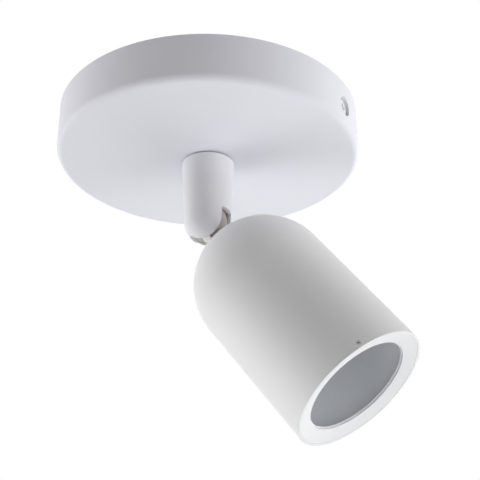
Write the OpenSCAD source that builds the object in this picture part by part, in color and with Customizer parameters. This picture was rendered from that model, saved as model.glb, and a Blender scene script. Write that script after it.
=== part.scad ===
// Ceiling spotlight with one adjustable head.
// The origin is the centre of the ceiling face, +Z points up into the ceiling, and the light hangs
// towards -Z. +X runs along the ceiling bracket, through the two side screws of the canopy.
// The stem turns about Z, and the head tilts about the centre of the ball inside the stem's end.

/* [Canopy] */
// Outside diameter of the canopy
canopy_d = 125; // [110:1:160]
// Height of the canopy below the ceiling
canopy_h = 19.5; // [18.5:0.5:30]
// Sheet thickness of the canopy
canopy_wall = 1.5; // [1:0.1:2]
// Outside radius of the canopy's lower edge
canopy_edge_r = 2.6; // [2.2:0.1:4]
// Diameter of the holes in the canopy's side for the screw heads
side_hole_d = 8; // [7.6:0.1:9]
// Depth of the side screws below the ceiling
side_screw_drop = 10.8; // [9:0.1:12]
// Diameter of the pip on the canopy's floor that stops the swivel
pip_d = 1.2; // [0.8:0.1:1.4]
// Distance of the pip from the swivel's axis
pip_reach = 13; // [12.6:0.1:13.4]

/* [Ceiling bracket] */
// Width of the steel strip
bracket_w = 20; // [16:1:24]
// Thickness of the steel strip
bracket_t = 1.5; // [1.2:0.1:2]
// Gap between the bracket's ears and the canopy's wall, at the screws
ear_gap = 1.9; // [1.7:0.1:2.2]
// Inside radius of the bends
bend_r = 1.5; // [1:0.1:2.5]
// Strip left below the centre of an ear's screw hole
ear_tail = 4.5; // [3:0.1:5]
// Distance between the centres of the two ceiling slots
slot_spacing = 72; // [70:1:76]
// Width of the ceiling slots
slot_w = 4.6; // [4:0.1:6]
// End-to-end length of the ceiling slots
slot_len = 14; // [10:1:16]
// Diameter of the pressed collars round the bracket's tapped holes
collar_d = 7; // [6:0.1:8]
// Height of the pressed collars
collar_h = 1.5; // [1:0.1:2]

/* [Screws] */
// Thread diameter of the side screws and of the earth screw
m4_d = 4; // [3.5:0.1:4.5]
// Diameter of the side screws' heads
side_head_d = 7.4; // [6.4:0.1:7.4]
// Height of the side screws' heads
side_head_h = 2.4; // [2.1:0.1:2.7]
// Length of the side screws under the head
side_screw_len = 6; // [4:0.5:8]
// Thread diameter of the small screws
m3_d = 3; // [2.5:0.1:3]
// Diameter of the small screws' heads
m3_head_d = 5.4; // [5:0.1:5.8]
// Height of the small screws' heads
m3_head_h = 2.2; // [1.8:0.1:2.4]
// Diameter of the earth screw's head
earth_head_d = 7; // [6.4:0.1:8]
// Height of the earth screw's head
earth_head_h = 2.4; // [2:0.1:3]
// Width of the cross recesses in the screw heads
recess_w = 0.9; // [0.6:0.1:1.1]
// Depth of the cross recesses
recess_h = 1.1; // [0.6:0.1:1.4]
// Gap that a screw has from the tip of its thread to the ceiling
tip_gap = 0.3; // [0.1:0.1:0.5]

/* [Terminal block] */
// Length of the block along the bracket
block_l = 16; // [15:0.5:18]
// Width of the block, along its two wire ways
block_w = 21; // [18:1:26]
// Height of the block under the bracket
block_h = 8.6; // [8:0.1:8.8]
// Distance from the swivel's axis to the block's near side
block_reach = 10.4; // [10:0.1:10.8]
// Depth of the wire ways below the top of the block
way_drop = 3.6; // [3.2:0.1:4]
// Distance between the block's two wire ways
way_pitch = 9; // [8.4:0.1:9.4]
// Outside diameter of the brass inserts
insert_d = 4.6; // [4:0.1:4.8]
// Bore of the brass inserts
insert_bore = 3; // [2.6:0.1:3.2]
// Length of the brass inserts
insert_l = 17; // [15:0.5:17.5]
// Thread diameter of the clamping screws
clamp_d = 2.5; // [2:0.1:2.8]
// How far the clamping screws are sunk in the block
clamp_sink = 0.4; // [0.2:0.1:0.6]
// Width of the slots in the clamping screws
clamp_slot_w = 0.5; // [0.4:0.1:0.7]
// Depth of the slots in the clamping screws
clamp_slot_h = 0.7; // [0.5:0.1:0.9]
// Distance between the two clamping screws of one way
clamp_pitch = 10; // [8:0.5:11]
// Distance of the earth screw from the swivel's axis
earth_reach = 17; // [15:0.5:20]
// Thickness of the toothed washers
star_t = 0.8; // [0.5:0.1:1]
// Outside diameter of the earth screw's washer
earth_washer_d = 7.2; // [7:0.1:7.4]
// Outside diameter of the tag that the earth lead is crimped in
tag_d = 8; // [7.8:0.1:9]
// Thickness of the tag
tag_t = 0.8; // [0.5:0.1:1]
// Length of the tag's barrel
tag_l = 5; // [4:0.5:7]
// How far the barrel laps the tag's ring
tag_lap = 0.2; // [0.1:0.1:0.3]
// Inside radius of the leads' bends in the canopy
lead_bend = 3.5; // [2:0.1:4]
// How far the leads run out beyond the terminal block
lead_loop = 2; // [1:0.1:6]
// How far the leads run into the brass inserts
lead_in = 4; // [2:0.1:6]

/* [Swivel] */
// Outside diameter of the hollow nipple
nipple_d = 10; // [9:0.1:10.4]
// Bore of the hollow nipple
nipple_bore = 7.2; // [6.6:0.1:7.6]
// Length of thread that stands out above the swivel nut
nipple_proud = 0.8; // [0.4:0.1:1]
// Thickness of the washer between the stem and the canopy
slip_t = 0.5; // [0.3:0.1:0.8]
// Outside diameter of the washer between the stem and the canopy
slip_d = 18.4; // [17:0.1:19]
// Outside diameter of the friction washer on the canopy's floor
friction_d = 20; // [18:0.1:21]
// Thickness of the friction washer
friction_t = 1; // [0.6:0.1:1.2]
// Outside diameter of the stop washer and of the spring washer
stop_d = 17.6; // [16:0.1:18]
// Thickness of the stop washer
stop_t = 1; // [0.8:0.1:1.2]
// Width of the stop washer's tab
tab_w = 0.9; // [0.7:0.1:1]
// Reach of the stop washer's tab beyond the pip's centre
tab_over = 0.8; // [0.5:0.1:1.2]
// Thickness of the spring washer
wave_t = 0.7; // [0.5:0.1:0.9]
// Width across the flats of the swivel nut
nut_af = 14; // [13.5:0.1:15]
// Thickness of the swivel nut
nut_h = 2.6; // [2:0.1:2.8]

/* [Stem and socket] */
// Diameter of the stem at the canopy
stem_top_d = 21.5; // [20.5:0.1:23]
// Diameter of the stem's round end
stem_end_d = 18.8; // [18.5:0.1:19.6]
// Distance from the canopy's underside to the centre of the ball
ball_drop = 27.5; // [27.4:0.1:34]
// Wall of the stem's round end
socket_wall = 1.2; // [1:0.1:1.3]
// Width of the slot that the neck tilts in
slot_gap_w = 8; // [6.3:0.1:8.4]
// Height of the slot's square end above the centre of the ball
slot_top = 3.8; // [3.1:0.1:3.9]
// Angle from straight down to the slot's other end
slot_back = 42; // [41:1:44]
// Length of the plug in the top of the stem
plug_h = 6.5; // [5:0.1:7]
// Height of the friction cup above the ball
cup_h = 6.6; // [6:0.1:7.4]
// Height of the friction cup's lower edge above the centre of the ball
cup_edge = 4; // [3.6:0.1:4.6]
// Bore of the friction cup
cup_bore = 6; // [5:0.1:7]
// Wire diameter of the pressure spring
spring_wire = 1.3; // [1:0.1:1.5]
// Mean diameter of the pressure spring
spring_d = 12.6; // [11.6:0.1:13]
// Number of turns of the pressure spring
spring_turns = 3.5; // [2.5:0.5:4]

/* [Ball and neck] */
// Diameter of the neck where it passes the slot
neck_d = 5.8; // [5.2:0.1:5.8]
// Bore of the neck for the leads
neck_bore = 4; // [3.6:0.1:4.2]
// Outside diameter of the collar that seats on the head
neck_collar_d = 8.6; // [8:0.1:9.6]
// Thickness of the collar
neck_collar_h = 2; // [1.4:0.1:2.4]
// Angle between the neck and the key that fills the slot
key_angle = 28.5; // [28:0.5:30]
// Length of the key along the slot
key_len = 3.2; // [2.8:0.1:3.4]
// Diameter of the flared mouth at the top of the ball
flare_d = 9; // [8:0.1:10]
// Depth of the flared mouth
flare_h = 5; // [4:0.1:6]

/* [Head] */
// Outside diameter of the head
head_d = 54; // [53.6:0.1:54.6]
// Length of the head's straight part, from the dome to the front
barrel_len = 58.3; // [56:0.1:70]
// Distance from the centre of the ball to the centre of the dome
dome_drop = 40.3; // [40:0.1:44]
// Wall of the head
head_wall = 1.2; // [0.8:0.1:1.3]
// Diameter of the boss inside the top of the dome
boss_d = 13; // [11.8:0.1:15]
// Thickness of the dome at the boss
boss_t = 4.6; // [3.6:0.1:5]
// Depth of the flat that the neck's collar seats on
spot_h = 0.4; // [0.4:0.1:0.6]
// Diameter of the front opening
mouth_d = 40.2; // [38:0.1:44]
// Depth of the dish in the front ring
dish_h = 1.8; // [1.4:0.1:2.4]
// Step from the head's front edge down to the ring
ring_step = 0.1; // [0.1:0.1:0.3]
// Thickness of the front ring at the opening
lip_t = 1.1; // [0.9:0.1:2]
// Diameter of the grub screw that holds the ring
grub_d = 1.8; // [1.4:0.1:2]
// Distance of the grub screw from the head's front edge
grub_set = 1.9; // [1.6:0.1:2.2]
// Angle of the grub screw round the head, from its upper side
grub_angle = 64; // [0:1:180]
// Depth of the socket in the grub screw
grub_recess = 0.5; // [0.3:0.1:0.7]
// Width of the socket in the grub screw, across its corners
grub_key = 1; // [0.7:0.1:1.2]
// How far the grub screw is sunk in the head
grub_sink = 0.1; // [0.1:0.1:0.3]

/* [Lampholder] */
// Diameter of the lampholder
holder_d = 18.4; // [17.8:0.1:20]
// Length of the lampholder
holder_h = 15; // [13:0.1:15.4]
// Height of the strap that the lampholder hangs from
strap_h = 15.4; // [14:0.1:18]
// Distance between the lampholder's two pin holes
pin_pitch = 10; // [9.8:0.1:10.2]
// Diameter of the pin holes
pin_hole_d = 5.6; // [5.4:0.1:6]
// Depth of the pin holes
pin_hole_h = 9; // [8:0.1:10]
// Width of the curved slots that lead out of the pin holes
pin_slot_w = 3; // [2.6:0.1:3.4]
// Angle that the lamp turns to lock
lock_angle = 24; // [15:1:30]
// Thickness of the lampholder's ears
ear_h = 4; // [3:0.1:5]
// Distance of the ears' screws from the lampholder's axis
ear_reach = 12.5; // [12.3:0.1:13.4]
// Width of the lampholder's ears and of the strap
ear_w = 7.6; // [7:0.1:8]
// Thickness of the contacts
contact_t = 0.6; // [0.4:0.1:0.8]
// Thickness of the lampholder strap
strap_t = 1; // [0.8:0.1:1.2]
// Gap between the strap's leg and the hole of its foot's screw
strap_toe = 3.2; // [3:0.1:3.4]
// Width across the flats of the neck's nut
neck_nut_af = 10; // [9:0.1:10.4]
// Thickness of the neck's nut
neck_nut_h = 3; // [2.4:0.1:3.4]
// Length of thread that stands out below the neck's nut
neck_proud = 0.8; // [0.4:0.1:1]
// Outside diameter of the toothed washer under the neck's nut
neck_star_d = 10.6; // [10:0.1:11]
// Diameter of the leads
lead_d = 1.5; // [1.2:0.1:1.6]
// Angle of the leads' bends between the neck and the lampholder
lead_slope = 50; // [40:1:60]

/* [Rest pose] */
// Turn of the stem from the bracket's direction
pan_rest = 3.4; // [0:0.1:8]
// Tilt of the head from straight down
tilt_rest = 38.3; // [30:0.1:45]

/* [Hidden] */
$fn = 96;

// Radial gap of a screw in its tapped hole and of a sleeve in its seat
thread_gap = 0.05;
// Radial gap of a part that turns or slides in its guide
run_gap = 0.08;
// Radial gap between the ball and its seats
ball_gap = 0.1;
// Gap round small pieces that pass through a hole
pass_gap = 0.2;
// Gap between pieces that meet end to end
end_gap = 0.3;
// Extra length that makes a cut run clear of a face
cut = 1;
// Share of a screw head's height that is rounded, and of its width that the recess spans
crown_share = 0.45;
recess_share = 0.52;
// Teeth of the toothed washers, and the width and depth of the gaps between them
tooth_count = 12;
tooth_w = 0.7;
// Share of the spring that lies flat at each end
flat_share = 0.15;
// How much thinner a lead's straight runs are than its bends, and how far they run into them
bend_hair = 0.01;
bend_lap = 0.1;
// Straight run in the middle of a head lead's S bend, and its length inside the neck
middle_run = 0.6;
neck_lead = 4;
// How far the spring washer's edge stands back from the stop washer's
wave_inset = 1;

canopy_r = canopy_d / 2;
canopy_in_r = canopy_r - canopy_wall;
floor_z = canopy_wall - canopy_h;
ear_x = canopy_in_r - ear_gap;
collar_z = -bracket_t - collar_h;
tag_z = collar_z - tag_t;
earth_star_z = tag_z - star_t;
block_x = -(block_reach + block_l / 2);
block_z = -bracket_t - block_h;
way_z = -bracket_t - way_drop;

friction_z = canopy_wall + friction_t;
stop_z = friction_z + stop_t;
wave_z = stop_z + wave_t;
nut_z = wave_z + nut_h;
nipple_top = nut_z + nipple_proud;
plug_z = -slip_t - plug_h;

socket_r = stem_end_d / 2;
ball_r = socket_r - socket_wall - ball_gap;
bore_r = ball_r + ball_gap;
cup_top = ball_r + cup_h;
lead_r = lead_d / 2;
lead_reach = cup_bore / 2 - lead_r - run_gap;
lead_turns = [180, 60, -60];
lead_top_z = nipple_top - canopy_h + end_gap;
spring_room = ball_drop + plug_z - cup_top;

head_r = head_d / 2;
head_in_r = head_r - head_wall;
apex_z = head_r - dome_drop;
seat_z = apex_z - spot_h;
boss_z = apex_z - boss_t;
face_z = -dome_drop - barrel_len;
strap_z = boss_z - strap_t;
star_z = strap_z - star_t;
neck_nut_z = star_z - neck_nut_h;
neck_end_z = neck_nut_z - neck_proud;
ring_r = head_in_r - run_gap;
ring_back_z = face_z + dish_h + lip_t;
holder_top_z = boss_z - strap_h;
holder_z = holder_top_z - holder_h;
leg_y = ear_reach - strap_toe;
strap_hole_r = neck_d / 2 + pass_gap;

// Places what turns with the stem: the origin is the centre of the canopy's underside
module on_stem() {
  translate([0, 0, -canopy_h])
    rotate([0, 0, pan_rest])
      children();
}

// Places what tilts with the head: the origin is the centre of the ball, the head points along -Z
module on_head() {
  on_stem()
    translate([0, 0, -ball_drop])
      rotate([0, -tilt_rest, 0])
        children();
}

// Tube from z0 up to z1
module tube(outer_r, inner_r, z0, z1) {
  translate([0, 0, z0])
    difference() {
      cylinder(r = outer_r, h = z1 - z0);
      translate([0, 0, -cut])
        cylinder(r = inner_r, h = z1 - z0 + 2 * cut);
    }
}

// Rod from z0 up to z1
module rod(r, z0, z1) {
  translate([0, 0, z0])
    cylinder(r = r, h = z1 - z0);
}

// Cross recess, cut down from z = 0
module cross_recess(size) {
  for (turn = [0, 90])
    rotate([0, 0, turn])
      translate([-size / 2, -recess_w / 2, -recess_h])
        cube([size, recess_w, recess_h + cut]);
}

// Pan-head screw: the head's seat is at z = 0 and the thread runs along -Z
module pan_screw(thread_d, head_dia, head_ht, len) {
  round_r = head_ht * crown_share;
  difference() {
    union() {
      rotate_extrude()
        union() {
          square([head_dia / 2, head_ht - round_r]);
          square([head_dia / 2 - round_r, head_ht]);
          intersection() {
            translate([head_dia / 2 - round_r, head_ht - round_r])
              circle(r = round_r);
            square([head_dia, head_ht]);
          }
        }
      rod(thread_d / 2, -len, 0);
    }
    translate([0, 0, head_ht])
      cross_recess(head_dia * recess_share);
  }
}

// Hexagonal nut with a plain bore, standing on z = 0
module hex_nut(across, bore, h) {
  difference() {
    cylinder(d = across / cos(30), h = h, $fn = 6);
    translate([0, 0, -cut])
      cylinder(r = bore, h = h + 2 * cut);
  }
}

// Arc of lead in the XZ plane about the origin, from one angle to another
module lead_arc(r, from, to) {
  rotate([90, 0, 0])
    rotate([0, 0, from])
      rotate_extrude(angle = to - from)
        translate([r, 0])
          circle(r = lead_r);
}

// Straight lead up from z0 to z1, a hair thinner than the bends that it runs into
module lead_rise(z0, z1) {
  rod(lead_r - bend_hair, z0 - bend_lap, z1 + bend_lap);
}

// Straight lead along +X
module lead_run(from, to) {
  rotate([0, 90, 0])
    lead_rise(from, to);
}

// Places its children at both ends of the bracket
module both_ends() {
  for (turn = [0, 180])
    rotate([0, 0, turn])
      children();
}

// Canopy's section: a shallow cup with a rounded lower edge
module cup_section(r, h, edge) {
  union() {
    translate([0, -h])
      square([r - edge, h]);
    translate([0, edge - h])
      square([r, h - edge]);
    translate([r - edge, edge - h])
      circle(r = edge);
  }
}

module canopy() {
  color("whitesmoke")
    difference() {
      union() {
        rotate_extrude()
          difference() {
            cup_section(canopy_r, canopy_h, canopy_edge_r);
            translate([0, cut])
              cup_section(canopy_in_r, canopy_h - canopy_wall + cut, canopy_edge_r - canopy_wall);
          }
        rotate([0, 0, pan_rest + 180])
          translate([pip_reach, 0, floor_z - canopy_wall / 2])
            cylinder(d = pip_d, h = canopy_wall / 2 + friction_t + stop_t + pass_gap);
      }
      translate([0, 0, -canopy_h - cut])
        cylinder(r = nipple_d / 2 + run_gap, h = canopy_wall + 2 * cut);
      both_ends()
        translate([canopy_in_r - cut, 0, -side_screw_drop])
          rotate([0, 90, 0])
            cylinder(d = side_hole_d, h = canopy_wall + 2 * cut);
    }
}

module bracket_end() {
  strip_l = ear_x - bracket_t - bend_r;
  ear_bottom = side_screw_drop + ear_tail;
  translate([0, -bracket_w / 2, -bracket_t])
    cube([strip_l, bracket_w, bracket_t]);
  translate([strip_l, bracket_w / 2, -bracket_t - bend_r])
    rotate([90, 0, 0])
      rotate_extrude(angle = 90)
        translate([bend_r, 0])
          square([bracket_t, bracket_w]);
  translate([ear_x - bracket_t, -bracket_w / 2, -ear_bottom])
    cube([bracket_t, bracket_w, ear_bottom - bracket_t - bend_r]);
}

module slot_cut() {
  for (end = [1, -1])
    translate([end * (slot_len - slot_w) / 2, 0, -bracket_t - cut])
      cylinder(d = slot_w, h = bracket_t + 2 * cut);
  translate([-(slot_len - slot_w) / 2, -slot_w / 2, -bracket_t - cut])
    cube([slot_len - slot_w, slot_w, bracket_t + 2 * cut]);
}

module ceiling_bracket() {
  color("silver")
    difference() {
      union() {
        both_ends()
          bracket_end();
        for (x = [earth_reach, block_x])
          translate([x, 0, collar_z])
            cylinder(d = collar_d, h = collar_h + bracket_t / 2);
      }
      both_ends()
        translate([slot_spacing / 2, 0, 0])
          slot_cut();
      both_ends()
        translate([ear_x - bracket_t - cut, 0, -side_screw_drop])
          rotate([0, 90, 0])
            cylinder(r = m4_d / 2 + thread_gap, h = bracket_t + 2 * cut);
      translate([earth_reach, 0, collar_z - cut])
        cylinder(r = m4_d / 2 + thread_gap, h = collar_h + bracket_t + 2 * cut);
      translate([block_x, 0, collar_z - cut])
        cylinder(r = m3_d / 2 + thread_gap, h = collar_h + bracket_t + 2 * cut);
    }
}

module side_screws() {
  color("whitesmoke")
    both_ends()
      translate([ear_x, 0, -side_screw_drop])
        rotate([0, 90, 0])
          pan_screw(m4_d, side_head_d, side_head_h, side_screw_len);
}

module earth_screw() {
  color("silver")
    translate([earth_reach, 0, earth_star_z])
      mirror([0, 0, 1])
        pan_screw(m4_d, earth_head_d, earth_head_h, -tip_gap - earth_star_z);
}

// Washer with teeth cut round its rim, standing on z = 0
module star_washer(outer_d, bore, h) {
  difference() {
    cylinder(d = outer_d, h = h);
    translate([0, 0, -cut])
      cylinder(r = bore, h = h + 2 * cut);
    for (i = [0 : tooth_count - 1])
      rotate([0, 0, i * 360 / tooth_count])
        translate([outer_d / 2 - tooth_w, -tooth_w / 2, -cut])
          cube([tooth_w + cut, tooth_w, h + 2 * cut]);
  }
}

module earth_washer() {
  color("silver")
    translate([earth_reach, 0, earth_star_z])
      star_washer(earth_washer_d, m4_d / 2 + pass_gap, star_t);
}

// Where a lead leaves the nipple, seen from below the ceiling
function lead_spot(i) = lead_reach * [cos(lead_turns[i] + pan_rest), sin(lead_turns[i] + pan_rest), 0];

// Heading of the earth lead towards the earth screw
earth_run = [earth_reach, 0, 0] - lead_spot(2);
earth_heading = atan2(earth_run[1], earth_run[0]);

module earth_tag() {
  barrel_r = lead_r + thread_gap + tag_t / 2;
  color("gold")
    translate([earth_reach, 0, tag_z])
      rotate([0, 0, earth_heading])
        difference() {
          union() {
            cylinder(d = tag_d, h = tag_t);
            translate([-tag_d / 2 - tag_l, 0, tag_t / 2])
              rotate([0, 90, 0])
                cylinder(r = barrel_r, h = tag_l + tag_lap);
          }
          translate([0, 0, -cut])
            cylinder(r = m4_d / 2 + pass_gap, h = tag_t + 2 * cut);
          translate([-tag_d / 2 - tag_l - cut, 0, tag_t / 2])
            rotate([0, 90, 0])
              cylinder(r = lead_r + thread_gap, h = tag_l + cut);
        }
}

module terminal_block() {
  color("ivory")
    difference() {
      translate([block_x - block_l / 2, -block_w / 2, block_z])
        cube([block_l, block_w, block_h]);
      translate([block_x, 0, block_z - cut])
        cylinder(r = m3_d / 2 + pass_gap, h = block_h + 2 * cut);
      translate([block_x, 0, collar_z - pass_gap])
        cylinder(r = collar_d / 2 + pass_gap, h = collar_h + pass_gap + cut);
      translate([block_x, 0, block_z - cut])
        cylinder(r = m3_head_d / 2 + pass_gap, h = m3_head_h + cut);
      for (way = [-1, 1]) {
        translate([block_x + way * way_pitch / 2, block_w / 2 + cut, way_z])
          rotate([90, 0, 0])
            cylinder(r = insert_d / 2 + thread_gap, h = block_w + 2 * cut);
        for (y = [-1, 1])
          translate([block_x + way * way_pitch / 2, y * clamp_pitch / 2, block_z - cut])
            cylinder(r = clamp_d / 2 + pass_gap, h = way_z - block_z + cut);
      }
    }
}

module terminal_inserts() {
  color("gold")
    for (way = [-1, 1])
      translate([block_x + way * way_pitch / 2, 0, way_z])
        difference() {
          rotate([90, 0, 0])
            tube(insert_d / 2, insert_bore / 2, -insert_l / 2, insert_l / 2);
          for (y = [-1, 1])
            translate([0, y * clamp_pitch / 2, -insert_d])
              cylinder(r = clamp_d / 2 + thread_gap, h = insert_d);
        }
}

module clamp_screws() {
  foot_z = block_z + clamp_sink;
  color("silver")
    for (way = [-1, 1], y = [-1, 1])
      translate([block_x + way * way_pitch / 2, y * clamp_pitch / 2, 0])
        difference() {
          rod(clamp_d / 2, foot_z, way_z - lead_r);
          translate([-clamp_d, -clamp_slot_w / 2, foot_z - cut])
            cube([2 * clamp_d, clamp_slot_w, cut + clamp_slot_h]);
        }
}

module block_screw() {
  color("silver")
    translate([block_x, 0, block_z + m3_head_h])
      mirror([0, 0, 1])
        pan_screw(m3_d, m3_head_d, m3_head_h, block_h - m3_head_h + bracket_t - tip_gap);
}

module friction_washer() {
  color("ivory")
    translate([0, 0, -canopy_h])
      tube(friction_d / 2, nipple_d / 2 + run_gap, canopy_wall, friction_z);
}

// Lead from the nipple, round beside the terminal block and back into one of its ways
module way_lead(spot, way_x) {
  turn_r = (spot[0] - way_x) / 2;
  turn_y = block_w / 2 + lead_loop;
  translate(spot) {
    lead_rise(lead_top_z + bend_lap, way_z - lead_bend);
    translate([0, lead_bend, way_z - lead_bend])
      rotate([0, 0, 90])
        lead_arc(lead_bend, 90, 180);
    translate([0, 0, way_z])
      rotate([0, 0, 90])
        lead_run(lead_bend, turn_y - spot[1]);
  }
  translate([(spot[0] + way_x) / 2, turn_y, way_z])
    rotate_extrude(angle = 180)
      translate([turn_r, 0])
        circle(r = lead_r);
  translate([way_x, 0, way_z])
    rotate([0, 0, 90])
      lead_run(insert_l / 2 - lead_in, turn_y);
}

// Lead from the nipple to the earth tag
module tag_lead() {
  mid_z = tag_z + tag_t / 2;
  translate(lead_spot(2)) {
    lead_rise(lead_top_z + bend_lap, mid_z - lead_bend);
    rotate([0, 0, earth_heading]) {
      translate([lead_bend, 0, mid_z - lead_bend])
        lead_arc(lead_bend, 90, 180);
      translate([0, 0, mid_z])
        lead_run(lead_bend, norm(earth_run) - tag_d / 2 - end_gap);
    }
  }
}

module canopy_leads() {
  color("saddlebrown") {
    way_lead(lead_spot(0), block_x + way_pitch / 2);
    way_lead(lead_spot(1), block_x - way_pitch / 2);
    tag_lead();
  }
}

// Slot for the neck, in the plane of the tilt about the ball's centre: from a square end beside the
// head, down under the ball and up to a radial end on the far side
module tilt_slot() {
  deep = socket_r + cut;
  near = bore_r / 4;
  far = tan(slot_back);
  rotate([90, 0, 0])
    translate([0, 0, -slot_gap_w / 2])
      linear_extrude(slot_gap_w)
        polygon([
          [near, slot_top],
          [deep, slot_top],
          [deep, -deep],
          [-deep * far, -deep],
          [-near * far, -near]
        ]);
}

module stem_socket() {
  color("whitesmoke")
    on_stem()
      difference() {
        union() {
          translate([0, 0, -ball_drop])
            cylinder(r1 = socket_r, r2 = stem_top_d / 2, h = ball_drop - slip_t);
          translate([0, 0, -ball_drop])
            sphere(r = socket_r);
        }
        translate([0, 0, -ball_drop])
          cylinder(r = bore_r, h = ball_drop + cut);
        translate([0, 0, -ball_drop])
          sphere(r = bore_r);
        translate([0, 0, -ball_drop])
          tilt_slot();
      }
}

module stem_plug() {
  color("silver")
    on_stem()
      tube(bore_r - thread_gap, nipple_d / 2 + thread_gap, plug_z, -slip_t);
}

module hollow_nipple() {
  color("silver")
    on_stem()
      tube(nipple_d / 2, nipple_bore / 2, plug_z, nipple_top);
}

module slip_washer() {
  color("ivory")
    on_stem()
      tube(slip_d / 2, nipple_d / 2 + thread_gap, -slip_t, 0);
}

module stop_washer() {
  color("silver")
    on_stem()
      difference() {
        union() {
          rod(stop_d / 2, friction_z, stop_z);
          translate([0, -tab_w / 2, friction_z])
            cube([pip_reach + tab_over, tab_w, stop_t]);
        }
        rod(nipple_d / 2 + thread_gap, friction_z - cut, stop_z + cut);
      }
}

module spring_washer() {
  color("silver")
    on_stem()
      tube(stop_d / 2 - wave_inset, nipple_d / 2 + thread_gap, stop_z, wave_z);
}

module swivel_nut() {
  color("silver")
    on_stem()
      translate([0, 0, wave_z])
        hex_nut(nut_af, nipple_d / 2 + thread_gap, nut_h);
}

module friction_cup() {
  color("ivory")
    on_stem()
      translate([0, 0, -ball_drop])
        difference() {
          rod(bore_r - thread_gap, cup_edge, cup_top);
          sphere(r = ball_r + ball_gap);
          rod(cup_bore / 2, 0, cup_top + cut);
        }
}

// Points of the spring's wire section at one place along the coil
function ring_points(angle, z, sides) = [
  for (i = [0 : sides - 1])
    let (
      t = 360 * i / sides,
      r = spring_d / 2 + spring_wire / 2 * cos(t)
    )
    [r * cos(angle), r * sin(angle), z + spring_wire / 2 * sin(t)]
];

// Height of the coil's centre line: flat for the end turns, rising between them
function coil_rise(s) = min(1, max(0, (s - flat_share) / (1 - 2 * flat_share)));
function coil_height(s, total) = spring_wire / 2 + (total - spring_wire) * coil_rise(s);

module pressure_spring() {
  sides = 8;
  steps = round(spring_turns * 20);
  total = spring_room - 2 * end_gap;
  rings = [
    for (k = [0 : steps])
      ring_points(360 * spring_turns * k / steps, coil_height(k / steps, total), sides)
  ];
  points = [for (ring = rings) for (p = ring) p];
  faces = concat(
    [[for (i = [0 : sides - 1]) i]],
    [
      for (k = [0 : steps - 1], i = [0 : sides - 1])
        let (
          a = k * sides + i,
          b = k * sides + (i + 1) % sides
        )
        [a, a + sides, b + sides, b]
    ],
    [[for (i = [sides - 1 : -1 : 0]) steps * sides + i]]
  );
  color("silver")
    on_stem()
      translate([0, 0, cup_top - ball_drop + end_gap])
        polyhedron(points = points, faces = faces, convexity = 6);
}

module stem_leads() {
  color("saddlebrown")
    on_stem()
      for (turn = lead_turns)
        rotate([0, 0, turn])
          translate([lead_reach, 0, 0])
            rod(lead_r, ball_r + end_gap - ball_drop, nipple_top);
}

module ball_neck() {
  color("antiquewhite")
    on_head()
      difference() {
        union() {
          sphere(r = ball_r);
          rod(neck_d / 2, neck_end_z, 0);
          rod(neck_collar_d / 2, seat_z, seat_z + neck_collar_h);
          intersection() {
            sphere(r = socket_r);
            rotate([0, key_angle, 0])
              translate([-key_len / 2, -(slot_gap_w - 2 * pass_gap) / 2, -socket_r])
                cube([key_len, slot_gap_w - 2 * pass_gap, socket_r]);
          }
        }
        rod(neck_bore / 2, neck_end_z - cut, ball_r + cut);
        translate([0, 0, ball_r - flare_h])
          cylinder(r1 = neck_bore / 2, r2 = flare_d / 2, h = flare_h);
      }
}

// Places its children at the grub screw: +Z points out of the head, and z = 0 is its surface
module at_grub() {
  on_head()
    rotate([0, 0, -grub_angle])
      translate([head_r, 0, face_z + grub_set])
        rotate([0, 90, 0])
          children();
}

module head_shell() {
  color("whitesmoke")
    difference() {
      on_head()
        difference() {
          union() {
            difference() {
              union() {
                translate([0, 0, -dome_drop])
                  sphere(r = head_r);
                rod(head_r, face_z, -dome_drop);
              }
              translate([0, 0, -dome_drop])
                sphere(r = head_in_r);
              rod(head_in_r, face_z - cut, -dome_drop);
            }
            intersection() {
              rod(boss_d / 2, boss_z, apex_z);
              translate([0, 0, -dome_drop])
                sphere(r = head_r);
            }
          }
          rod(neck_d / 2 + thread_gap, boss_z - cut, apex_z + cut);
          rod(neck_collar_d / 2 + pass_gap, seat_z, apex_z + cut);
        }
      at_grub()
        rod(grub_d / 2 + thread_gap, -head_wall - cut, cut);
    }
}

module strap_side() {
  difference() {
    union() {
      translate([-ear_w / 2, 0, strap_z])
        cube([ear_w, leg_y, strap_t]);
      translate([-ear_w / 2, leg_y - strap_t, holder_top_z])
        cube([ear_w, strap_t, boss_z - holder_top_z]);
      translate([-ear_w / 2, leg_y - strap_t, holder_top_z])
        cube([ear_w, ear_reach + ear_w / 2 - leg_y + strap_t, strap_t]);
    }
    rod(strap_hole_r, strap_z - cut, boss_z + cut);
    translate([0, ear_reach, 0])
      rod(m3_d / 2 + thread_gap, holder_top_z - cut, holder_top_z + strap_t + cut);
  }
}

module lampholder_strap() {
  color("silver")
    on_head()
      for (side = [0, 180])
        rotate([0, 0, side])
          strap_side();
}

module neck_toothed_washer() {
  color("silver")
    on_head()
      translate([0, 0, star_z])
        star_washer(neck_star_d, neck_d / 2 + thread_gap, star_t);
}

module neck_nut() {
  color("silver")
    on_head()
      translate([0, 0, neck_nut_z])
        hex_nut(neck_nut_af, neck_d / 2 + thread_gap, neck_nut_h);
}

// One pin hole, with the curved slot that the pin turns into
module pin_hole() {
  translate([pin_pitch / 2, 0, 0])
    rod(pin_hole_d / 2, holder_z - cut, holder_z + pin_hole_h);
  translate([0, 0, holder_z - cut])
    rotate_extrude(angle = lock_angle)
      translate([pin_pitch / 2 - pin_slot_w / 2, 0])
        square([pin_slot_w, pin_hole_h + cut]);
}

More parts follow.
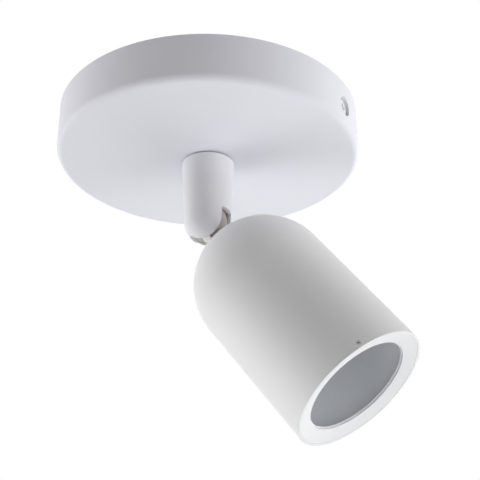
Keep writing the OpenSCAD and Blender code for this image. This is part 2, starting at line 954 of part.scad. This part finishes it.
module lampholder() {
  color("white")
    on_head()
      difference() {
        union() {
          rod(holder_d / 2, holder_z, holder_top_z);
          for (side = [-1, 1]) {
            translate([0, side * ear_reach, 0])
              rod(ear_w / 2, holder_top_z - ear_h, holder_top_z);
            translate([-ear_w / 2, side * ear_reach / 2 - ear_reach / 2, holder_top_z - ear_h])
              cube([ear_w, ear_reach, ear_h]);
          }
        }
        for (turn = [0, 180])
          rotate([0, 0, turn]) {
            pin_hole();
            translate([pin_pitch / 2, 0, 0])
              rod(lead_d / 2 + pass_gap, holder_z, holder_top_z + cut);
            translate([0, ear_reach, 0])
              rod(m3_d / 2 + pass_gap, holder_z - cut, holder_top_z + cut);
          }
      }
}

module holder_contacts() {
  contact_r = pin_hole_d / 2 - pass_gap;
  floor_of_hole = holder_z + pin_hole_h;
  color("gold")
    on_head()
      for (side = [-1, 1])
        translate([side * pin_pitch / 2, 0, 0])
          tube(contact_r, lead_d / 2 + pass_gap, floor_of_hole - contact_t, floor_of_hole);
}

module holder_screws() {
  color("silver")
    on_head()
      for (side = [-1, 1])
        translate([0, side * ear_reach, holder_top_z - ear_h])
          mirror([0, 0, 1])
            pan_screw(m3_d, m3_head_d, m3_head_h, ear_h + strap_t + 2);
}

module head_leads() {
  near = lead_r + pass_gap;
  far = pin_pitch / 2;
  arc_r = (far - near - middle_run * sin(lead_slope)) / 2 / (1 - cos(lead_slope));
  start_z = neck_end_z - end_gap;
  end_z = start_z - 2 * arc_r * sin(lead_slope) - middle_run * cos(lead_slope);
  color("white")
    on_head()
      for (turn = [0, 180])
        rotate([0, 0, turn]) {
          translate([near, 0, 0])
            lead_rise(start_z, neck_end_z + neck_lead);
          translate([near + arc_r, 0, start_z])
            lead_arc(arc_r, 180, 180 + lead_slope);
          translate([(near + far) / 2, 0, (start_z + end_z) / 2])
            rotate([0, -lead_slope, 0])
              lead_rise(-middle_run / 2, middle_run / 2);
          translate([far - arc_r, 0, end_z])
            lead_arc(arc_r, 0, lead_slope);
          translate([far, 0, 0])
            lead_rise(holder_z + pin_hole_h + end_gap, end_z);
        }
}

module ring_grub_screw() {
  color("silver")
    at_grub()
      difference() {
        rod(grub_d / 2, -head_wall, -grub_sink);
        translate([0, 0, -grub_sink - grub_recess])
          cylinder(d = grub_key, h = grub_recess + cut, $fn = 6);
      }
}

module front_ring() {
  step_z = face_z + ring_step;
  lip_z = face_z + dish_h;
  color("whitesmoke")
    on_head()
      rotate_extrude()
        polygon([
          [ring_r, step_z],
          [mouth_d / 2, lip_z],
          [mouth_d / 2, ring_back_z],
          [ring_r, ring_back_z]
        ]);
}

ceiling_bracket();
canopy();
side_screws();
earth_screw();
earth_washer();
earth_tag();
terminal_block();
terminal_inserts();
clamp_screws();
block_screw();
friction_washer();
canopy_leads();
stem_socket();
stem_plug();
hollow_nipple();
slip_washer();
stop_washer();
spring_washer();
swivel_nut();
friction_cup();
pressure_spring();
stem_leads();
ball_neck();
head_shell();
lampholder_strap();
neck_toothed_washer();
neck_nut();
lampholder();
holder_contacts();
holder_screws();
head_leads();
ring_grub_screw();
front_ring();
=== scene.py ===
import math

import bmesh
import bpy
from mathutils import Matrix, Vector


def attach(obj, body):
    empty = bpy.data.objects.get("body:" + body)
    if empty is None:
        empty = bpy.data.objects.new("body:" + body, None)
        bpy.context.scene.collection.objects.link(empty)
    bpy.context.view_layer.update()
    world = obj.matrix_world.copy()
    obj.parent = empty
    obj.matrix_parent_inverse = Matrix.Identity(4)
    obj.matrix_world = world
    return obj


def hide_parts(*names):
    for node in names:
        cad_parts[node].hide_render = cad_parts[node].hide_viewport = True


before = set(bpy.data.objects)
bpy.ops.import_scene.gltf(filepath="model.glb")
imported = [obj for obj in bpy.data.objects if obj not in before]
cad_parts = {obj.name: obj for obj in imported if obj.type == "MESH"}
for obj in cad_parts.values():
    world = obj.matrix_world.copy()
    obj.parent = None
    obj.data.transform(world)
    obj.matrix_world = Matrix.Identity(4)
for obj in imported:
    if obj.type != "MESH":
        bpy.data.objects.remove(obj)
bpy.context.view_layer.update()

# Canopy: a shallow cup pressed from 1.5 mm steel sheet, with a rounded lower edge, powder-coated in
# a smooth satin white; the faint lilac in its colour is painted bluish light from below. Its rim
# lies on the ceiling, and the stem's nipple passes its floor.
MM = 0.001
CANOPY_R = 62.5
CANOPY_H = 19.5
CANOPY_WALL = 1.5
CANOPY_EDGE = 2.6
CANOPY_SOFT = 0.12
NIPPLE_HOLE_R = 5.08
SIDE_HOLE_R = 4.0
SIDE_DRILL = 6.0
SIDE_SCREW_Z = -10.8
SHARP_FROM = 35.0
SOFT_FROM = 40.0
PAINT_IOR = 1.48
PAINT_CLOUD = 28.0
PAINT_SMOOTHER = 0.04
PAINT_ROUGHER = 0.05
BUMP_HEIGHT = 0.0002


def arc(cx, cz, r, start, stop, steps):
    """Points of a rounded corner in a turned profile, from one angle to another."""
    turn = [math.radians(start + (stop - start) * i / steps) for i in range(steps + 1)]
    return [(cx + r * math.cos(t), cz + r * math.sin(t)) for t in turn]


def turned(profile, place, steps=192, closed=True):
    """A solid of revolution: the profile is (radius, height) in mm, spun about the local Z."""
    bm = bmesh.new()
    ring = [bm.verts.new((r * MM, 0.0, z * MM)) for r, z in profile]
    edges = [bm.edges.new((a, b)) for a, b in zip(ring, ring[1:])]
    if closed:
        edges.append(bm.edges.new((ring[-1], ring[0])))
    bmesh.ops.spin(
        bm,
        geom=ring + edges,
        cent=(0, 0, 0),
        axis=(0, 0, 1),
        angle=math.tau,
        steps=steps,
        use_merge=True,
        use_duplicate=False,
    )
    bmesh.ops.remove_doubles(bm, verts=bm.verts, dist=1e-7)
    bmesh.ops.recalc_face_normals(bm, faces=bm.faces)
    bmesh.ops.transform(bm, matrix=place, verts=bm.verts)
    return bm


def smooth(mesh):
    """Smooth faces, with the real edges kept sharp."""
    mesh.polygons.foreach_set("use_smooth", [True] * len(mesh.polygons))
    mesh.set_sharp_from_angle(angle=math.radians(SHARP_FROM))


def piece(name, bm):
    """Makes the mesh a piece of its own."""
    mesh = bpy.data.meshes.new(name)
    bm.to_mesh(mesh)
    bm.free()
    obj = bpy.data.objects.new(name, mesh)
    bpy.context.scene.collection.objects.link(obj)
    smooth(mesh)
    return obj


def carve(obj, cutter_bm, operation="DIFFERENCE"):
    """Drills, slots or trims a piece with another solid, and keeps the result as its mesh."""
    cutter = piece("cutter", cutter_bm)
    mod = obj.modifiers.new("carve", "BOOLEAN")
    mod.operation = operation
    mod.solver = "EXACT"
    mod.object = cutter
    graph = bpy.context.evaluated_depsgraph_get()
    carved = bpy.data.meshes.new_from_object(obj.evaluated_get(graph))
    obj.modifiers.clear()
    old = obj.data
    obj.data = carved
    bpy.data.meshes.remove(old)
    spent = cutter.data
    bpy.data.objects.remove(cutter)
    bpy.data.meshes.remove(spent)
    smooth(carved)


def drill(obj, radius, depth, place, segments):
    """Drills a round hole along the place's own Z, with the place in the middle of its depth."""
    bit = bmesh.new()
    bmesh.ops.create_cone(
        bit,
        cap_ends=True,
        segments=segments,
        radius1=radius * MM,
        radius2=radius * MM,
        depth=depth * MM,
        matrix=place,
    )
    carve(obj, bit)


def soften(obj, width, segments=2):
    """The small rounding that paint and deburring leave on every sharp edge."""
    mod = obj.modifiers.new("edge", "BEVEL")
    mod.width = width * MM
    mod.segments = segments
    mod.limit_method = "ANGLE"
    mod.angle_limit = math.radians(SOFT_FROM)
    mod.harden_normals = True


def paint(name, colour, roughness=0.5, grain=900.0, peel=0.03, drift=0.02):
    """Powder coat: a faint orange-peel surface, with a slight drift in colour and gloss."""
    mat = bpy.data.materials.new(name)
    mat.use_nodes = True
    nodes, links = mat.node_tree.nodes, mat.node_tree.links
    skin = nodes["Principled BSDF"]
    skin.inputs["IOR"].default_value = PAINT_IOR
    where = nodes.new("ShaderNodeTexCoord")
    cloud = nodes.new("ShaderNodeTexNoise")
    cloud.inputs["Scale"].default_value = PAINT_CLOUD
    cloud.inputs["Detail"].default_value = 3.0
    links.new(where.outputs["Object"], cloud.inputs["Vector"])
    tint = nodes.new("ShaderNodeMix")
    tint.data_type = "RGBA"
    tint.inputs["A"].default_value = (*[c * (1 - drift) for c in colour], 1)
    tint.inputs["B"].default_value = (*[min(1.0, c * (1 + drift)) for c in colour], 1)
    links.new(cloud.outputs["Fac"], tint.inputs["Factor"])
    links.new(tint.outputs["Result"], skin.inputs["Base Color"])
    gloss = nodes.new("ShaderNodeMapRange")
    gloss.inputs["To Min"].default_value = roughness - PAINT_SMOOTHER
    gloss.inputs["To Max"].default_value = roughness + PAINT_ROUGHER
    links.new(cloud.outputs["Fac"], gloss.inputs["Value"])
    links.new(gloss.outputs["Result"], skin.inputs["Roughness"])
    fine = nodes.new("ShaderNodeTexNoise")
    fine.inputs["Scale"].default_value = grain
    fine.inputs["Detail"].default_value = 2.0
    links.new(where.outputs["Object"], fine.inputs["Vector"])
    bump = nodes.new("ShaderNodeBump")
    bump.inputs["Strength"].default_value = peel
    bump.inputs["Distance"].default_value = BUMP_HEIGHT
    links.new(fine.outputs["Fac"], bump.inputs["Height"])
    links.new(bump.outputs["Normal"], skin.inputs["Normal"])
    return mat


edge_z = CANOPY_EDGE - CANOPY_H
inner_r = CANOPY_R - CANOPY_WALL
inner_edge = CANOPY_EDGE - CANOPY_WALL
cup = [(CANOPY_R, 0.0), *arc(CANOPY_R - CANOPY_EDGE, edge_z, CANOPY_EDGE, 0, -90, steps=12)]
cup += [(NIPPLE_HOLE_R, -CANOPY_H), (NIPPLE_HOLE_R, CANOPY_WALL - CANOPY_H)]
cup += [*arc(inner_r - inner_edge, edge_z, inner_edge, -90, 0, steps=8), (inner_r, 0.0)]
# Satin white paint; its faint lilac tint is painted bluish light from below.
canopy_paint_with_painted_blue_light = paint("canopy_paint_with_painted_blue_light", (0.80, 0.80, 0.86))
canopy = piece("canopy_cup", turned(cup, Matrix(), steps=256))
for side in (1, -1):
    hole_place = Matrix.Translation((side * CANOPY_R * MM, 0, SIDE_SCREW_Z * MM))
    hole_place @= Matrix.Rotation(math.pi / 2, 4, "Y")
    drill(canopy, SIDE_HOLE_R, SIDE_DRILL, hole_place, segments=64)
soften(canopy, CANOPY_SOFT)
canopy.data.materials.append(canopy_paint_with_painted_blue_light)
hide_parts("canopy")
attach(canopy, "mount")

# Side screws: two pan-head steel screws, painted white like the canopy. They are wound out of the
# bracket's ears until their heads stand in the canopy's side holes and carry it.
SCREW_SEAT_X = 59.1
SCREW_HEAD_R = 3.7
SCREW_HEAD_H = 2.4
SCREW_LENGTH = 6.0
SCREW_THREAD_R = 2.0
TIP_IN = 0.4
TIP_UP = 0.5
CROWN_SHARE = 0.45
CROSS_WIDTH = 0.9
CROSS_SPAN = 3.8
CROSS_DEPTH = 1.1

screw_paint = paint("screw_paint", (0.82, 0.82, 0.85), roughness=0.36)
crown = SCREW_HEAD_H * CROWN_SHARE
shape = [(0, -SCREW_LENGTH), (SCREW_THREAD_R - TIP_IN, -SCREW_LENGTH)]
shape += [(SCREW_THREAD_R, -SCREW_LENGTH + TIP_UP), (SCREW_THREAD_R, 0), (SCREW_HEAD_R, 0)]
shape += arc(SCREW_HEAD_R - crown, SCREW_HEAD_H - crown, crown, 0, 90, steps=8)
shape += [(0, SCREW_HEAD_H)]
for side, name in ((1, "side_screw_right"), (-1, "side_screw_left")):
    place = Matrix.Translation((side * SCREW_SEAT_X * MM, 0, SIDE_SCREW_Z * MM))
    place @= Matrix.Rotation(side * math.pi / 2, 4, "Y")
    screw = piece(name, turned(shape, place, steps=64, closed=False))
    head_top = place @ Matrix.Translation((0, 0, SCREW_HEAD_H * MM))
    for turn in (0, 90):
        blade = bmesh.new()
        bmesh.ops.create_cube(blade, size=MM)
        bmesh.ops.scale(
            blade, vec=(CROSS_SPAN, CROSS_WIDTH, 2 * CROSS_DEPTH), verts=blade.verts
        )
        blade_place = head_top @ Matrix.Rotation(math.radians(turn), 4, "Z")
        bmesh.ops.transform(blade, matrix=blade_place, verts=blade.verts)
        carve(screw, blade)
    screw.data.materials.append(screw_paint)
    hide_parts("side_screws")
    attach(screw, "mount")

# Stem: a tapered tube turned from aluminium, painted white. Its round end is cut by a slot for the
# neck, and the steel plug in its top takes the hollow nipple that it swivels on.
PAN_REST = 3.4
BALL_DROP = 27.5
STEM_TOP_R = 10.75
STEM_TOP_CHAMFER = 0.25
STEM_END_R = 9.4
STEM_SOFT = 0.15
SOCKET_WALL = 1.2
SLIP = 0.5
SLOT_WIDTH = 8.0
SLOT_TOP = 3.8
SLOT_BACK = 42.0
SLOT_INNER_SHARE = 0.25
SLOT_PAST = 2.0

stem_place = Matrix.Translation((0, 0, -CANOPY_H * MM))
stem_place @= Matrix.Rotation(math.radians(PAN_REST), 4, "Z")
ball_place = stem_place @ Matrix.Translation((0, 0, -BALL_DROP * MM))
stem_paint = paint("stem_paint", (0.81, 0.81, 0.84))
bore = STEM_END_R - SOCKET_WALL
top_z = BALL_DROP - SLIP
tube = [(STEM_TOP_R - STEM_TOP_CHAMFER, top_z), (STEM_TOP_R, top_z - STEM_TOP_CHAMFER)]
tube += arc(0, 0, STEM_END_R, 0, -90, steps=40)[:-1] + [(0, -STEM_END_R), (0, -bore)]
tube += arc(0, 0, bore, -90, 0, steps=32)[1:] + [(bore, top_z)]
stem = piece("stem_tube", turned(tube, ball_place, steps=160))
deep = STEM_END_R + SLOT_PAST
near = bore * SLOT_INNER_SHARE
far = math.tan(math.radians(SLOT_BACK))
corners = [(near, SLOT_TOP), (deep, SLOT_TOP), (deep, -deep)]
corners += [(-deep * far, -deep), (-near * far, -near)]
slot = bmesh.new()
side_y = -SLOT_WIDTH / 2 * MM
outline = slot.faces.new([slot.verts.new((x * MM, side_y, z * MM)) for x, z in corners])
sweep = bmesh.ops.extrude_face_region(slot, geom=[outline])
swept = [v for v in sweep["geom"] if isinstance(v, bmesh.types.BMVert)]
bmesh.ops.translate(slot, vec=(0, SLOT_WIDTH * MM, 0), verts=swept)
bmesh.ops.recalc_face_normals(slot, faces=slot.faces)
bmesh.ops.transform(slot, matrix=ball_place, verts=slot.verts)
carve(stem, slot)
soften(stem, STEM_SOFT)
stem.data.materials.append(stem_paint)
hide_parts("stem_socket")
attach(stem, "stem")

# Ball and neck: one turned metal piece, with the collar that seats on the head. The ball's dark
# warm grey is painted shade, for the shade on the ball inside the stem's slot. The off-white key on
# the ball fills the slot beside the neck. Leads run through the bore.
TILT_REST = 38.3
BALL_R = 8.1
NECK_R = 2.9
NECK_BORE = 2.0
NECK_END = -23.5
COLLAR_R = 4.3
COLLAR_TOP = -11.7
COLLAR_CHAMFER = 0.3
SEAT_Z = -13.7
FLARE_TOP = 7.04
FLARE_DEPTH = 5.0
KEY_ANGLE = 28.5
KEY_LENGTH = 3.2
KEY_WIDTH = 7.6
KEY_HEIGHT_SHARE = 0.6
KEY_MIDDLE_SHARE = 0.75
KEY_SOFT = 0.2

head_place = ball_place @ Matrix.Rotation(math.radians(-TILT_REST), 4, "Y")
# The ball's dark grey is painted shade: it stands for the shade on the ball inside the stem's slot.
ball_painted_shade = paint("ball_painted_shade", (0.44, 0.40, 0.37), peel=0.05)
key_finish = paint("key_finish", (0.92, 0.90, 0.87), roughness=0.45, peel=0.05)
ball_low = math.degrees(math.asin(NECK_R / BALL_R)) - 90
ball_high = math.degrees(math.asin(FLARE_TOP / BALL_R))
shape = [(NECK_BORE, NECK_END), (NECK_R, NECK_END), (NECK_R, SEAT_Z), (COLLAR_R, SEAT_Z)]
shape += [(COLLAR_R, COLLAR_TOP - COLLAR_CHAMFER), (COLLAR_R - COLLAR_CHAMFER, COLLAR_TOP)]
shape += [(NECK_R, COLLAR_TOP), *arc(0, 0, BALL_R, ball_low, ball_high, steps=48)]
shape += [(NECK_BORE, BALL_R - FLARE_DEPTH)]
ball = piece("ball_and_neck", turned(shape, head_place, steps=128))
key = bmesh.new()
bmesh.ops.create_cube(key, size=MM)
key_size = (KEY_LENGTH, KEY_WIDTH, STEM_END_R * KEY_HEIGHT_SHARE)
bmesh.ops.scale(key, vec=key_size, verts=key.verts)
bmesh.ops.translate(key, vec=(0, 0, -STEM_END_R * KEY_MIDDLE_SHARE * MM), verts=key.verts)
key_place = head_place @ Matrix.Rotation(math.radians(KEY_ANGLE), 4, "Y")
bmesh.ops.transform(key, matrix=key_place, verts=key.verts)
key_piece = piece("ball_key", key)
round_trim = bmesh.new()
bmesh.ops.create_uvsphere(
    round_trim, u_segments=128, v_segments=96, radius=STEM_END_R * MM, matrix=head_place
)
carve(key_piece, round_trim, "INTERSECT")
soften(key_piece, KEY_SOFT, segments=3)
for part, finish in ((ball, ball_painted_shade), (key_piece, key_finish)):
    part.data.materials.append(finish)
    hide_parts("ball_neck")
    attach(part, "head")

# Head: a tube drawn from 1.2 mm aluminium with a round closed end, painted white outside and a
# cooler white inside. A boss in the dome takes the neck, and a tapped hole the ring's screw.
HEAD_R = 27.0
HEAD_WALL = 1.2
HEAD_CHAMFER = 0.15
HEAD_SOFT = 0.05
DOME_Z = -40.3
FACE_Z = -98.6
BOSS_R = 6.5
BOSS_Z = -17.9
SPOT_R = 4.5
NECK_PLAY = 0.05
GRUB_R = 0.95
GRUB_SET = 1.9
GRUB_ANGLE = 64.0
GRUB_DRILL = 4.0
INSIDE_MARGIN = 0.01

head_paint = paint("head_paint", (0.82, 0.82, 0.825))
inside_paint = paint("inside_paint", (0.91, 0.93, 0.96), roughness=0.3)
inside_r = HEAD_R - HEAD_WALL
neck_hole_r = NECK_R + NECK_PLAY
spot_angle = math.degrees(math.acos(SPOT_R / HEAD_R))
boss_angle = math.degrees(math.acos(BOSS_R / inside_r))
shape = [(inside_r, FACE_Z), (HEAD_R - HEAD_CHAMFER, FACE_Z), (HEAD_R, FACE_Z + HEAD_CHAMFER)]
shape += arc(0, DOME_Z, HEAD_R, 0, spot_angle, steps=64)
shape += [(SPOT_R, SEAT_Z), (neck_hole_r, SEAT_Z), (neck_hole_r, BOSS_Z), (BOSS_R, BOSS_Z)]
shape += arc(0, DOME_Z, inside_r, boss_angle, 0, steps=48)
head = piece("head_tube", turned(shape, head_place, steps=256))
grub_place = (
    head_place
    @ Matrix.Rotation(math.radians(-GRUB_ANGLE), 4, "Z")
    @ Matrix.Translation((HEAD_R * MM, 0, (FACE_Z + GRUB_SET) * MM))
    @ Matrix.Rotation(math.pi / 2, 4, "Y")
)
drill(head, GRUB_R, GRUB_DRILL, grub_place, segments=48)
soften(head, HEAD_SOFT)
head.data.materials.append(head_paint)
head.data.materials.append(inside_paint)
from_ball = head_place.inverted()
for face in head.data.polygons:
    at = from_ball @ face.center
    off_centre = Vector((at.x, at.y, max(0.0, at.z - DOME_Z * MM)))
    if off_centre.length < (inside_r + INSIDE_MARGIN) * MM:
        face.material_index = 1
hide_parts("head_shell")
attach(head, "head")

# Front ring: turned from aluminium and painted white, a shade cooler than the head. Its front is
# dished towards the opening, which steps in once, and one small screw through the tube holds it.
RING_R = 25.78
RING_STEP = 0.1
RING_SOFT = 0.05
MOUTH_R = 20.1
DISH = 1.8
LIP = 1.1
REBATE = 0.35
REBATE_ABOVE = 0.1
REBATE_BELOW = 0.6

rebate_r = MOUTH_R + REBATE
mouth_z = FACE_Z + DISH
shape = [(RING_R, FACE_Z + RING_STEP), (rebate_r, mouth_z - REBATE_ABOVE)]
shape += [(rebate_r, mouth_z + REBATE_BELOW), (MOUTH_R, mouth_z + REBATE_BELOW)]
shape += [(MOUTH_R, mouth_z + LIP), (RING_R, mouth_z + LIP)]
ring = piece("dished_ring", turned(shape, head_place, steps=256))
soften(ring, RING_SOFT)
ring.data.materials.append(paint("ring_paint", (0.82, 0.828, 0.845)))
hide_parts("front_ring")
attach(ring, "head")

# Steel fittings: the bracket, plug, nipple, nuts, washers, spring, strap and screws are steel with
# a bright zinc coat, which shows a faint crystal pattern and a slightly uneven gloss.
ZINC_NODES = (
    "ceiling_bracket",
    "earth_screw",
    "earth_washer",
    "clamp_screws",
    "block_screw",
    "stem_plug",
    "hollow_nipple",
    "stop_washer",
    "spring_washer",
    "swivel_nut",
    "pressure_spring",
    "lampholder_strap",
    "neck_toothed_washer",
    "neck_nut",
    "holder_screws",
)
PLATE_CLOUD_SHARE = 0.4
PLATE_SMOOTHER = 0.07
PLATE_ROUGHER = 0.1


def plated(name, colour, roughness, metallic=1.0, scale=350.0, spread=0.12, dent=0.05):
    """Metal or moulded material with a fine crystal or grain pattern in its colour and gloss."""
    mat = bpy.data.materials.new(name)
    mat.use_nodes = True
    nodes, links = mat.node_tree.nodes, mat.node_tree.links
    skin = nodes["Principled BSDF"]
    skin.inputs["Metallic"].default_value = metallic
    where = nodes.new("ShaderNodeTexCoord")
    crystal = nodes.new("ShaderNodeTexVoronoi")
    crystal.inputs["Scale"].default_value = scale
    links.new(where.outputs["Object"], crystal.inputs["Vector"])
    tint = nodes.new("ShaderNodeMix")
    tint.data_type = "RGBA"
    tint.inputs["A"].default_value = (*[c * (1 - spread) for c in colour], 1)
    tint.inputs["B"].default_value = (*colour, 1)
    links.new(crystal.outputs["Distance"], tint.inputs["Factor"])
    links.new(tint.outputs["Result"], skin.inputs["Base Color"])
    cloud = nodes.new("ShaderNodeTexNoise")
    cloud.inputs["Scale"].default_value = scale * PLATE_CLOUD_SHARE
    cloud.inputs["Detail"].default_value = 4.0
    links.new(where.outputs["Object"], cloud.inputs["Vector"])
    gloss = nodes.new("ShaderNodeMapRange")
    gloss.inputs["To Min"].default_value = roughness - PLATE_SMOOTHER
    gloss.inputs["To Max"].default_value = roughness + PLATE_ROUGHER
    links.new(cloud.outputs["Fac"], gloss.inputs["Value"])
    links.new(gloss.outputs["Result"], skin.inputs["Roughness"])
    bump = nodes.new("ShaderNodeBump")
    bump.inputs["Strength"].default_value = dent
    bump.inputs["Distance"].default_value = BUMP_HEIGHT
    links.new(cloud.outputs["Fac"], bump.inputs["Height"])
    links.new(bump.outputs["Normal"], skin.inputs["Normal"])
    return mat


def dress(names, mat):
    """Gives the solids their finish and leaves their shapes as they are."""
    for name in names:
        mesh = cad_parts[name].data
        mesh.materials.clear()
        mesh.materials.append(mat)


dress(ZINC_NODES, plated("zinc_plate", (0.66, 0.67, 0.69), 0.36))

# Ring's grub screw: a small set screw, wound in through the head's tapped hole onto the ring. Its
# mid grey is painted shade, for the shaded dimple round the screw; it shows as a small grey mark
# beside the rim.
dress(("ring_grub_screw",), plated("grey_steel_painted_shade", (0.40, 0.40, 0.41), 0.5))

# Brass: the terminal inserts, the earth tag and the lampholder's contacts are bare stamped or
# turned brass, slightly dull from handling.
dress(
    ("terminal_inserts", "earth_tag", "holder_contacts"),
    plated("bare_brass", (0.70, 0.52, 0.24), 0.34, scale=200.0),
)

# Nylon: the slip washer under the canopy, the friction washer on its floor and the cup on the ball
# are natural nylon, and the terminal block is moulded in the same off-white.
dress(
    ("slip_washer", "friction_washer", "friction_cup"),
    plated("natural_nylon", (0.62, 0.61, 0.58), 0.55, metallic=0.0, scale=500.0, spread=0.05),
)
dress(
    ("terminal_block",),
    plated("block_plastic", (0.74, 0.73, 0.69), 0.45, metallic=0.0, scale=700.0, spread=0.04),
)

# Lampholder: fired steatite, pressed in one block, with a dry matt surface and small specks. Two
# screws hold it to the strap, deep in the head.
dress(
    ("lampholder",),
    plated("steatite", (0.70, 0.69, 0.66), 0.7, metallic=0.0, scale=900.0, spread=0.1, dent=0.12),
)

# Leads: stranded wire in a white silicone sleeve, which is limp, matt and a little dusty. They run
# from the terminal block through the nipple and the ball's bore to the lampholder.
dress(
    ("canopy_leads", "stem_leads", "head_leads"),
    plated("silicone_sleeve", (0.72, 0.70, 0.67), 0.6, metallic=0.0, scale=600.0, spread=0.08),
)

# Photographer's set: the light hangs in a white tent over a pale floor. Square soft panels stand
# round it, the strong ones to the left and right, and don't show to the camera or in the gloss. The
# camera looks up from below and in front.
VIEW_TURN = 31.0
PANEL_DISTANCE = 1.1
PANEL_SIZE = 0.8
PANEL_AIM = Vector((0.02, 0, -0.06))
TENT_WHITE = (1, 1, 1, 1)
TENT_LIGHT = 0.05
FLOOR_HALF = 4.0
FLOOR_Z = -1.7
FLOOR_SEEN = (0.78, 0.78, 0.78, 1)
CAMERA_AT = (0.18289, -0.30437, -0.21738)
CAMERA_TURN = (114.618, 0.076, 28.896)
CAMERA_LENS = 72.7
CAMERA_SENSOR = 36.0


def panel(name, azimuth, elevation, power):
    """A soft panel aimed at the light; azimuth is from straight in front, positive to the right."""
    a = math.radians(azimuth + VIEW_TURN - 90)
    e = math.radians(elevation)
    way = Vector((math.cos(a) * math.cos(e), math.sin(a) * math.cos(e), math.sin(e)))
    lamp = bpy.data.lights.new(name, "AREA")
    lamp.shape = "SQUARE"
    lamp.size = PANEL_SIZE
    lamp.energy = power
    obj = bpy.data.objects.new(name, lamp)
    obj.location = PANEL_AIM + way * PANEL_DISTANCE
    obj.rotation_euler = (-way).to_track_quat("-Z", "Y").to_euler()
    obj.visible_camera = False
    obj.visible_glossy = False
    bpy.context.scene.collection.objects.link(obj)


panel("left_panel", -105, 0, 3.8)
panel("left_back_panel", -115, -15, 5.9)
panel("left_high_panel", -45, 35, 2.5)
panel("left_low_panel", -90, -55, 2.8)
panel("front_panel", 10, -15, 1.5)
panel("front_right_panel", 45, -15, 1.3)
panel("right_panel", 75, -15, 5.1)
panel("right_high_panel", 90, 35, 4.7)
panel("right_low_panel", 90, -55, 3.9)
panel("right_back_panel", 140, -15, 3.5)


def seen_rays(nodes, links):
    """1 for rays that look at the set directly, in a reflection or through glass, else 0."""
    ray = nodes.new("ShaderNodeLightPath")
    kinds = ("Is Camera Ray", "Is Glossy Ray", "Is Transmission Ray")
    shares = [ray.outputs[kind] for kind in kinds]
    while len(shares) > 1:
        both = nodes.new("ShaderNodeMath")
        both.operation = "ADD"
        both.use_clamp = True
        links.new(shares.pop(), both.inputs[0])
        links.new(shares.pop(), both.inputs[1])
        shares.append(both.outputs[0])
    return shares[0]


world = bpy.data.worlds.new("tent")
bpy.context.scene.world = world
world.use_nodes = True
nodes, links = world.node_tree.nodes, world.node_tree.links
seen = nodes["Background"]
seen.inputs["Color"].default_value = TENT_WHITE
seen.inputs["Strength"].default_value = 1.0
glow = nodes.new("ShaderNodeBackground")
glow.inputs["Color"].default_value = TENT_WHITE
glow.inputs["Strength"].default_value = TENT_LIGHT
mix = nodes.new("ShaderNodeMixShader")
links.new(seen_rays(nodes, links), mix.inputs["Fac"])
links.new(glow.outputs["Background"], mix.inputs[1])
links.new(seen.outputs["Background"], mix.inputs[2])
links.new(mix.outputs["Shader"], nodes["World Output"].inputs["Surface"])

floor_mesh = bmesh.new()
bmesh.ops.create_grid(floor_mesh, x_segments=1, y_segments=1, size=FLOOR_HALF)
bmesh.ops.translate(floor_mesh, vec=(0, 0, FLOOR_Z), verts=floor_mesh.verts)
floor = piece("tent_floor", floor_mesh)
floor_white = paint("floor_white", (0.8, 0.8, 0.8), roughness=0.9, grain=60.0)
nodes, links = floor_white.node_tree.nodes, floor_white.node_tree.links
skin = nodes["Principled BSDF"]
links.new(seen_rays(nodes, links), skin.inputs["Emission Strength"])
skin.inputs["Emission Color"].default_value = FLOOR_SEEN
floor.data.materials.append(floor_white)

camera = bpy.data.objects.new("camera", bpy.data.cameras.new("camera"))
camera.data.sensor_width = CAMERA_SENSOR
camera.data.lens = CAMERA_LENS
camera.location = CAMERA_AT
camera.rotation_euler = [math.radians(v) for v in CAMERA_TURN]
bpy.context.scene.collection.objects.link(camera)
bpy.context.scene.camera = camera
bpy.context.scene.view_settings.view_transform = "Standard"

bpy.context.view_layer.update()
